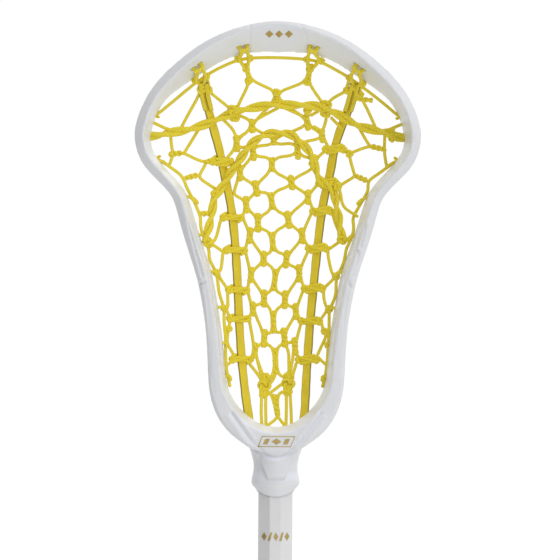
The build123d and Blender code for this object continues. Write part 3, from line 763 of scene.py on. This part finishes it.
# each doubled loop hangs from one pair of scoop holes, a hole as its edge's x and its share of the way through
innerPair, outerPair = ((22.6, 0.64), (27.6, 0.62)), ((52.8, 0.46), (57.4, 0.44))
scoopLoop = {
    # side, holes, outer foot, inner foot, end: x and height
    "places": [(-1, outerPair, (-54.2, 269.4), (-46.6, 272.6), (-49.8, 266.5)),
               (-1, innerPair, (-26.3, 283.6), (-18.4, 284.2), (-20.8, 277.5)),
               (1, innerPair, (28.2, 282.8), (18.6, 283.8), (20.6, 277)),
               (1, outerPair, (55.4, 268.2), (46.6, 272.2), (50.6, 266))],
    "strands": [(2.3, 0.9), (2.1, -1.1)],  # width, and how far it lies to one side
    "through": (-1.8, 1.5, 6.3), "footKnot": 0.7, "tailKnot": 0.8,
    # a turn across the two strands, hard against the scoop: hole, across, deeper, out
    "bar": [(0, -0.9, -0.02, -1.4), (0, 0.8, 0, -2.6), (1, -0.8, 0, -2.7), (1, 0.9, -0.02, -1.5)], "barWidth": 2.4,
}


def scoopLoopRoute(side, near, far, outFoot, inFoot, tail, aside):
    # up from the tail, through the outer hole, behind the scoop, and back down through the inner one
    through, front = scoopLoop["through"], -2.0 - aside * 0.4
    up = [(tail[0] + side * 0.6, tail[1], aside * 0.6), (outFoot[0] + aside * 0.3, outFoot[1], aside - 1.4)]
    down = [(inFoot[0] - aside * 0.3, inFoot[1], aside - 1.4), (tail[0] - side * 0.6, tail[1], aside * 0.6)]
    return [*onPocket(up), scoopHole(side, far[0] - 1, far[1] + 0.12, front),
            *(scoopHole(side, *far, out) for out in through),
            *(scoopHole(side, *near, out) for out in reversed(through)),
            scoopHole(side, near[0] + 1, near[1] + 0.12, front), *onPocket(down)]


scoopLoops = Strings()
for side, holes, outFoot, inFoot, tail in scoopLoop["places"]:
    for width, aside in scoopLoop["strands"]:
        scoopLoops.cord(scoopLoopRoute(side, *holes, outFoot, inFoot, tail, aside), width)
    scoopLoops.cord([scoopHole(side, holes[i][0] + across, holes[i][1] + deeper, out)
                     for i, across, deeper, out in scoopLoop["bar"]], scoopLoop["barWidth"])
    scoopLoops.knots([(outFoot, scoopLoop["footKnot"], 0.4), (inFoot, scoopLoop["footKnot"], 1.2)], -0.8)
    scoopLoops.knots([(tail, scoopLoop["tailKnot"], 0.3 * side)], -0.2)
finishStrings("scoopLoops", scoopLoops, "scoop_loops")

upper = {
    "routes": [
        [(-63.6, 238.4), (-58, 249), (-52.5, 258.5), (-50.6, 263.5), (-50.4, 270)],
        [(-46.2, 271.5), (-45.2, 265.5), (-43.5, 261.5), (-40.5, 259.2), (-35.5, 255.3), (-30.5, 251.5)],
        [(-26.5, 252.5), (-24.5, 257), (-20.6, 264.5), (-19, 269.5), (-20.6, 275.5), (-21.6, 281)],
        [(-20.8, 281), (-19.6, 275.5), (-17.2, 270.3), (-9.5, 266.6), (-2.2, 263.6), (-1.6, 258)],
        [(-0.2, 258), (0.6, 262.8), (8.5, 265.8), (17.5, 269.2), (19.8, 275), (20.9, 281)],
        [(22.3, 281), (21, 275), (20.4, 269.2), (23, 264.5), (27.4, 258.6), (30.8, 254)],
        [(31.5, 254.5), (35, 258.2), (39.5, 261), (43.2, 262.6), (45.2, 266), (46.4, 271.5)],
        [(53.5, 268.5), (53.8, 262), (55.8, 257), (59.5, 250.5), (64.6, 239.4)],
    ],
    "knots": [  # place, size, lean
        ((-50.2, 263.5), 0.95, 0.4), ((-45, 263.6), 0.8, 1.2), ((-19.2, 269.6), 0.85, 0.2),
        ((18.8, 269.4), 0.85, 0.9), ((45.2, 264), 0.8, 0.5), ((53.6, 261.5), 0.9, 0.2), ((-0.9, 262.6), 0.85, 0.6)],
    "knotLift": -0.6,
    # a cut tail left beside the right runner's head
    "tail": [(50.6, 258.6, -1.8), (54.5, 258.4, -2.2), (59.5, 257.8, -2.2), (62, 257.4, -2)],
    "tailTwist": (1.9, 0.8, 7.0),  # strand, apart, pitch
}
upperNet = Strings()
upperNet.onNet(*upper["routes"])
upperNet.knots(upper["knots"], upper["knotLift"])
upperNet.twisted(onPocket(upper["tail"]), *upper["tailTwist"])
finishStrings("upperNet", upperNet, "upper_net")

upperShooter = {
    "hole": 233.5, "twist": (3.3, 1.55, 38.0), "lift": -1.6,
    "ends": ((-70.5, 236, -2), (73, 236, -2)),
    "route": [
        (-62, 237), (-56, 238.6), (-51, 240.2), (-46, 242), (-36.5, 246), (-29, 249.5),
        (-18.5, 252), (-12, 253.2), (-7, 254.4), (-0.5, 254.8), (8, 254.4), (14, 254.4), (22, 254.4),
        (27, 253.4), (31.5, 252), (40, 248.6), (44, 245.8), (53, 241), (59.5, 239.4), (66, 237.6)],
    "corners": [
        [(-82, 242.6, 0.5), (-76.5, 240), (-72, 238, -1), (-66, 237, -1)],
        [(82, 242.5, 0.5), (76.5, 240.3), (72.5, 238.4, -1), (66, 238, -1)],
    ],
    "knots": [
        ((-29, 250.6), 1.5, 0.5), ((-28.2, 246.4), 1.25, 1.4), ((31.8, 254.4), 1.3, 0.3), ((31.4, 249.4), 1.25, 1.1),
        ((-0.8, 255.4), 1, 0.8), ((74.5, 235.8), 1.15, 0.2), ((-65.5, 237.2), 0.95, 1), ((19.5, 250.6), 0.9, 0.4)],
    # upright turns beside the right wall: where they start; half width, and each step's fall and angle
    "coilTop": (74.8, 240, -1.8), "coil": (1.3, 0.55, 0.8), "coilPoints": 18,
    # cords down to the middle mesh
    "downLift": -0.6,
    "down": [
        [(-26.4, 247.5), (-21.5, 246.6), (-18.2, 244)],
        [(0.6, 252.6), (-7.5, 248.6), (-14.6, 244.4)],
        [(3.8, 252.8), (10.5, 250), (18.2, 246.6)],
        [(21.4, 247.5), (24.6, 249.4), (27, 250.8)],
        [(-35.6, 244.5), (-31, 240.5), (-28, 236.4), (-26.6, 231.8)],
        [(-20.4, 236.4), (-23.6, 234.6), (-26, 232.6)],
        [(23.4, 241), (25.6, 239.6), (28, 238.4)],
        [(32, 246), (31.2, 242), (29.2, 236.6)],
        [(34.8, 246.8), (38, 243.2), (43.2, 238.8)],
    ],
}
hole, lift = upperShooter["hole"], upperShooter["lift"]
leftEnd, rightEnd = onPocket(upperShooter["ends"])
shooting = Strings()
shooting.twisted([outHole(-1, hole, 3), outHole(-1, hole, -2.5), leftEnd, *onPocket(upperShooter["route"], lift),
                  rightEnd, outHole(1, hole, -2.5), outHole(1, hole, 3)], *upperShooter["twist"])
shooting.onNet(*upperShooter["corners"])
for side in (-1, 1):
    shooting.cord([outHole(side, hole, -2), *roundTheRail(side, hole)])
shooting.knots(upperShooter["knots"], lift)
x, height, depth = upperShooter["coilTop"]
half, fall, turn = upperShooter["coil"]
shooting.onNet([(x + half * sin(k * turn), height - k * fall, depth - half * cos(k * turn))
                for k in range(upperShooter["coilPoints"])])
shooting.onNet(*upperShooter["down"], lift=upperShooter["downLift"])
finishStrings("upperShootingString", shooting, "upper_shooting_string")

lowerShooter = {
    "arch": [
        (-46.6, 164), (-46, 170), (-43.8, 176.5), (-42.6, 184), (-41.5, 192), (-37.5, 199), (-34, 204.5),
        (-31, 210), (-27.5, 214.5), (-24.5, 219), (-21, 224), (-18.5, 228), (-14, 231.6), (-10.5, 234.2),
        (-5.5, 236), (-1, 236.2), (4, 236.5), (9, 235.3), (12.5, 232.8), (16, 229.8), (19, 226.8), (22.5, 222),
        (25, 214.5), (26.8, 207), (31, 203.4), (36.5, 199.5), (38.4, 194), (39, 188), (40.8, 181), (41.8, 174),
        (43, 168)],
    "archLift": -2.6, "twist": (2.95, 1.5, 26.0, 0.6),
    "sideCord": [(40.8, 200), (42, 196), (42.6, 191), (44.6, 187.2), (49, 184.2), (53.2, 181.5)],
    "lift": -2.4,
    "knots": [((-45.6, 164.6), 1.25, 0.4), ((43, 166.6), 1.2, 1), ((24, 216), 1.15, 0.5),
              ((39.6, 201.4), 1, 0.1), ((-40.6, 196.4), 1, 1.2)],
}
shooting = Strings()
shooting.twisted(onPocket(lowerShooter["arch"], lowerShooter["archLift"]), *lowerShooter["twist"])
shooting.onNet(lowerShooter["sideCord"], lift=lowerShooter["lift"])
shooting.knots(lowerShooter["knots"], lowerShooter["lift"])
finishStrings("lowerShootingString", shooting, "lower_shooting_string")

# side laces: the cords' routes, where two are turned round each other, and the knots with their sizes
sideLaces = {
    "sideLaceLeft": ("side_lace_left", [
        [(-70.3, 236.4), (-69.6, 228), (-68.5, 222.6), (-69.4, 218), (-71.4, 213.6)],
        [(-71.5, 221.4), (-66.5, 222.2), (-61.5, 222.6), (-58, 221), (-53.5, 218.8), (-48.5, 217), (-42, 217.6),
         (-38, 218.2)],
        [(-51.4, 238.8), (-57, 229.4), (-61.8, 221.8)],
        [(-47, 216.4), (-47.6, 214.4), (-51.2, 208.4), (-50.4, 205.8), (-45.6, 202.6), (-40.4, 199.4)],
        [(-61.6, 206.2), (-56.6, 207.6), (-51.8, 208)],
        [(-40.6, 199), (-43, 193), (-43.6, 186), (-43.8, 183.4), (-51.4, 182.8)],
        [(-35.8, 182.4), (-37.4, 177.6), (-38.2, 173.4), (-40.2, 166), (-43.4, 163.2), (-40.4, 161.8),
         (-35.4, 158.2)],
        [(-35, 159.2), (-35.7, 155), (-36, 149.6), (-37, 145.2), (-39.2, 144.4), (-37.6, 141.4), (-32.8, 134.4)],
        [(-31.6, 134), (-32.1, 131), (-31.9, 125.6), (-31.8, 121.6), (-33.6, 120.8), (-31.6, 117.4),
         (-30.8, 114.6), (-30.5, 110.4), (-31.8, 104.6), (-32.4, 98.2), (-29.6, 93.4), (-27.7, 90)],
        [(-27.9, 88.6), (-28.1, 87), (-32.3, 83.4)],
    ], [((-70.8, 221.7), (-62.4, 222.6)), ((-47.8, 216.7), (-41, 218.2)), ((-59.8, 206.3), (-52.6, 208.2)),
        ((-50.8, 182.8), (-44.6, 183.2))],
       [((-44.2, 163), 1.05), ((-39.6, 144.4), 0.95), ((-34, 120.8), 0.9), ((-31.2, 107.6), 0.85)]),
    "sideLaceRight": ("side_lace_right", [
        [(70.5, 237), (70, 226.6), (70.8, 219), (72, 213.8)],
        [(71.6, 225.2), (66, 227), (60.4, 228), (54.5, 226), (48, 223.4), (46.6, 222.4)],
        [(53, 241), (57.2, 233), (61.6, 226.8)],
        [(47.2, 222.6), (48.4, 217.4), (50.6, 210.2), (51.2, 208.2), (46.2, 205.2), (41.2, 202)],
        [(52, 208.6), (55.6, 207), (59.6, 205)],
        [(36.6, 184), (37.2, 181.6), (39, 176), (41.8, 169.8), (44.4, 165.6)],
        [(43, 166.4), (38.8, 163.2), (34, 160)],
        [(33.8, 160), (33.7, 157.4), (35, 150.2), (36.6, 144), (39, 142.6), (37.2, 140.2), (31.6, 134.8)],
        [(31.2, 134), (31.1, 131.4), (31.4, 127.2), (32.8, 122.4), (34.4, 120.8), (32.4, 118.6), (29.8, 114.6)],
        [(29.8, 112.8), (30.1, 110.8), (31, 107), (32.8, 105.4), (32.6, 102), (29.6, 95.8), (27.2, 90.2)],
        [(27.8, 89.6), (28.4, 88), (33.2, 84)],
    ], [((69.4, 226), (61, 228)), ((52, 208.4), (58.6, 205.5))],
       [((47.4, 223), 0.95), ((43.6, 166.4), 1), ((39.2, 142.6), 0.95), ((34.6, 120.8), 0.95),
        ((31.6, 106.4), 0.85)]),
}
sideKnots = {"twist": (2.0, 1.1, 6.5), "lift": -0.3, "knotLift": -0.4, "knotScale": 0.88, "lean": 0.6}
for name, (node, routes, pairs, knots) in sideLaces.items():
    sideLace = Strings()
    sideLace.onNet(*routes)
    for a, b in pairs:
        halfway = ((a[0] + b[0]) / 2, (a[1] + b[1]) / 2)
        sideLace.twisted(onPocket((a, halfway, b), sideKnots["lift"]), *sideKnots["twist"])
    for k, (spot, size) in enumerate(knots):
        sideLace.knot((*spot, sideKnots["knotLift"]), size * sideKnots["knotScale"], sideKnots["lean"] * k)
    finishStrings(name, sideLace, node)

# cords along the side walls, and the ties that hold them
sidewallLines = {
    "sidewallStringLeft": (-1, "sidewall_string_left", [
        (-75.6, 217.6), (-72, 214.5), (-69.5, 212.8), (-64.5, 209.4), (-61.4, 205.8), (-59.4, 200),
        (-56.8, 195.4), (-54.2, 190.6), (-51.6, 184.6), (-50, 180), (-50.2, 175), (-48.6, 169), (-45.2, 162.2),
        (-44.4, 158), (-44.2, 153), (-41.6, 148), (-39.4, 144.2), (-38.5, 138), (-38, 132.6), (-36.8, 128),
        (-34.2, 121.2), (-34.4, 114), (-33.8, 107), (-33, 100), (-33.2, 92.5), (-32.8, 83), (-31.6, 76),
        (-30, 69.2)]),
    "sidewallStringRight": (1, "sidewall_string_right", [
        (75.2, 216.4), (71, 213.2), (66, 209.6), (60.2, 205.6), (59.6, 202), (59.8, 198.6), (56, 192),
        (51.6, 184.4), (49.7, 180), (50.6, 175), (50, 170.2), (47.2, 163.4), (45.6, 160.4), (44.8, 154.6),
        (43.6, 150), (41, 144.8), (39.4, 142.2), (39.2, 137), (39.2, 132), (38.2, 127.6), (36.4, 123.4),
        (34.8, 120.6), (34.8, 114), (34.8, 107.6), (34.4, 98), (33.6, 86), (32.4, 76), (30.4, 69.2)]),
}
for name, (side, node, line) in sidewallLines.items():
    sidewall = Strings()
    sidewall.onNet(line)
    finishStrings(name, sidewall, node)

rimTies = {
    "holes": [218, 192, 168, 144, 121, 98, 76],
    "stringAt": (1.5, -3.0),  # the side-wall string is held above and below the hole
    "hitch": [(0, -0.4, 1.5, 1.2), (1, -1.9, -1.6, 0.4), (1, -0.4, -2.4, -1.6)], "intoHole": -1.6,
    "turnOut": (72.0, 214.5),  # the string itself turns out of the first hole
    "pieces": [("rimTiesLeft", "rim_ties_left", "sidewallStringLeft"),
               ("rimTiesRight", "rim_ties_right", "sidewallStringRight")],
}
for name, node, held in rimTies["pieces"]:
    side, _, line = sidewallLines[held]
    ties = Strings()
    for height in rimTies["holes"]:
        string = [lineAt(line, height + up) for up in rimTies["stringAt"]]
        hitch = onPocket([(string[i] + side * out, height + up, lift) for i, out, up, lift in rimTies["hitch"]])
        hitch.append(outHole(side, height, rimTies["intoHole"]))
        if height == rimTies["holes"][0]:
            x, turnHeight = rimTies["turnOut"]
            hitch = onPocket([(side * x, turnHeight)])
        ties.cord(hitch + roundTheRail(side, height))
    finishStrings(name, ties, node)

throatRoutes = [
    [(-17.4, 84.4), (-13.6, 79.8), (-10.2, 75.2), (-9, 72)],
    [(-12.5, 88), (-10.6, 82.6), (-8.6, 77.2)],
    [(-9.2, 66), (-9.4, 60), (-9.5, 52), (-9, 45.4), (-9, 42.8, -2.2), (-9, 41.2, -6)],
    [(-6.4, 66), (-6.6, 60), (-6.5, 52), (-6.3, 45.4), (-6.3, 42.8, -2.2), (-6.3, 41.2, -6)],
    [(7, 66), (7, 60), (7, 52), (6.8, 45.4), (6.8, 42.8, -2.2), (6.8, 41.2, -6)],
    [(9.4, 66), (9.8, 60), (10.2, 52), (10.4, 45.4), (10.4, 42.8, -2.2), (10.4, 41.2, -6)],
    [(6.6, 96.4), (8.6, 92.6), (8.5, 85.5), (8.8, 77)],
    [(13.6, 85.6), (12.4, 80.6), (10.8, 76.4)],
    [(-7, 69), (-3.6, 71.5), (-1.2, 74.8), (-0.2, 78)],
    [(-7, 63.4), (-3, 65.8), (0, 68.2), (2.8, 70.4), (7, 73)],
    [(-7, 41.2, -5), (-6.2, 43, -1.4), (-3.6, 45.6), (-0.6, 47.4), (2.2, 51.4)],
    [(0.8, 51.2), (3, 47.8), (5.2, 45.2), (6.8, 43, -1.4), (7.4, 41.2, -5)],
]
throatStrings = Strings()
throatStrings.onNet(*throatRoutes)
finishStrings("throatStrings", throatStrings, "throat_strings")

# small printed marks, plain lozenges and bars, that lie on the surfaces
foil = {"proud": 0.05, "thickness": 0.12, "cuts": 11, "castFrom": -100.0}


def lozenge(x, z, wide, high):
    return [(x - wide / 2, z), (x, z - high / 2), (x + wide / 2, z), (x, z + high / 2)]


def slantedBar(x, z, wide, high, slant=0.8):
    return [(x - wide / 2 - slant, z - high / 2), (x + wide / 2 - slant, z - high / 2),
            (x + wide / 2 + slant, z + high / 2), (x - wide / 2 + slant, z + high / 2)]


def printMark(name, support, shapes):
    tree = BVHTree.FromPolygons([v.co for v in support.vertices], [p.vertices[:] for p in support.polygons])
    patch = bmesh.new()
    for shape in shapes:
        patch.faces.new([patch.verts.new((x * mm, 0, (collarZ + z) * mm)) for x, z in shape])
    bmesh.ops.subdivide_edges(patch, edges=patch.edges[:], cuts=foil["cuts"], use_grid_fill=True)
    for vert in patch.verts:
        start = Vector((vert.co.x, foil["castFrom"] * mm, vert.co.z))
        spot, normal, *_ = tree.ray_cast(start, Vector((0, 1, 0)))
        vert.co = spot + normal * foil["proud"] * mm
    made = bpy.data.meshes.new(name)
    patch.to_mesh(made)
    patch.free()
    thick = addPiece(name, made, None, finish=gold).modifiers.new("foil", "SOLIDIFY")
    thick.thickness, thick.offset = foil["thickness"] * mm, 0


printMark("scoopMark", mouldedHead.data, [lozenge(x, 299, 5.2, 4.4) for x in (-6, 0.3, 6.6)])
printMark("throatMark", mouldedHead.data, [
    slantedBar(-6.2, 35.1, 3, 3.6), lozenge(0.3, 35.1, 6.6, 4.2), slantedBar(6.8, 35.1, 3, 3.6),
    slantedBar(-10.2, 35.1, 0.55, 7, 1.4), slantedBar(10.8, 35.1, 0.55, 7, 1.4),
    slantedBar(1.7, 38.35, 21.3, 0.55, 0.1), slantedBar(-1.1, 31.85, 21.3, 0.55, 0.1)])
printMark("shaftMark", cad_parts["shaft"].data, [
    lozenge(-7.2, -27, 3.4, 5.6), slantedBar(-3.3, -27, 1.4, 5.6), lozenge(0.4, -27, 3.2, 5.6),
    slantedBar(4, -27, 1.4, 5.6), lozenge(7.6, -27, 3.2, 5.6)])
print("marks printed")

studio = {
    "distance": 2.8, "lens": 276.9, "sensor": 36.0, "near": 0.1, "far": 30.0,
    "cameraYaw": 0.5, "cameraRoll": 0.37,  # degrees
    "aimRight": 2.1, "aimIn": -8.0, "aimHeight": 139.75,  # mm, the height above the collar
    "floorRadius": 3.0, "lightsAim": 0.93,
    "dimmest": 0.13, "fromLeft": 0.54, "fromAbove": 0.50, "behind": 1.02,  # the surrounding light's strengths
    "softboxes": [  # place, size, power, in metres and watts
        ((0.55, -1.8, 2.6), 1.4, 5.0),
        ((-1.6, -2.0, 1.2), 1.2, 0.4),
        ((0.3, 1.8, 2.0), 1.2, 4.0),
        ((0.5, -1.6, 0.35), 1.0, 2.2),
    ],
}

floorMesh = bpy.data.meshes.new("floor")
disc = bmesh.new()
bmesh.ops.create_circle(disc, cap_ends=True, radius=studio["floorRadius"], segments=96)
disc.to_mesh(floorMesh)
disc.free()
floor = bpy.data.objects.new("floor", floorMesh)
scene.collection.objects.link(floor)
f = newFinish("paleFloor")
patches = f.ramp(f.noise(f.coordinate("object"), 3.0), [(0.3, (0.78, 0.78, 0.78)), (0.7, (0.82, 0.82, 0.81))])
floorMesh.materials.append(f.shade(Base_Color=patches, Roughness=0.7))

world = bpy.data.worlds.new("softWhite")
scene.world = world
w = Finish(world, "ShaderNodeBackground")
toRight, awayFromFront, upwards = w.parts(w.coordinate("generated"))
behind = w.node("ShaderNodeMapRange", {"interpolation_type": "SMOOTHSTEP"},
                Value=awayFromFront, From_Min=0.1, From_Max=0.75)
fromLeft = w.node("ShaderNodeMapRange", Value=toRight, From_Min=-0.9, From_Max=0.2)
front = studio["dimmest"] + fromLeft * studio["fromLeft"] + upwards * studio["fromAbove"]
w.shade(Color=(1.0, 1.0, 1.0, 1.0), Strength=front * (1 - behind) + behind * studio["behind"])

for place, size, power in studio["softboxes"]:
    light = bpy.data.lights.new("softbox", "AREA")
    light.shape, light.size, light.energy = "DISK", size, power
    box = bpy.data.objects.new("softbox", light)
    box.location = place
    box.rotation_euler = (Vector((0, 0, studio["lightsAim"])) - Vector(place)).to_track_quat("-Z", "Y").to_euler()
    scene.collection.objects.link(box)

cameraData = bpy.data.cameras.new("camera")
cameraData.lens, cameraData.sensor_width = studio["lens"], studio["sensor"]
cameraData.clip_start, cameraData.clip_end = studio["near"], studio["far"]
camera = bpy.data.objects.new("camera", cameraData)
yaw = radians(studio["cameraYaw"])
looking = Vector((sin(yaw), cos(yaw), 0))
rightward = Vector((cos(yaw), -sin(yaw), 0))
aim = rightward * studio["aimRight"] + looking * studio["aimIn"] + Vector((0, 0, collarZ + studio["aimHeight"]))
camera.location = aim * mm - looking * studio["distance"]
roll = Quaternion((0, 0, 1), radians(studio["cameraRoll"]))
camera.rotation_euler = (looking.to_track_quat("-Z", "Y") @ roll).to_euler()
scene.collection.objects.link(camera)
scene.camera = camera
scene.view_settings.view_transform = "Standard"

print("studio ready")
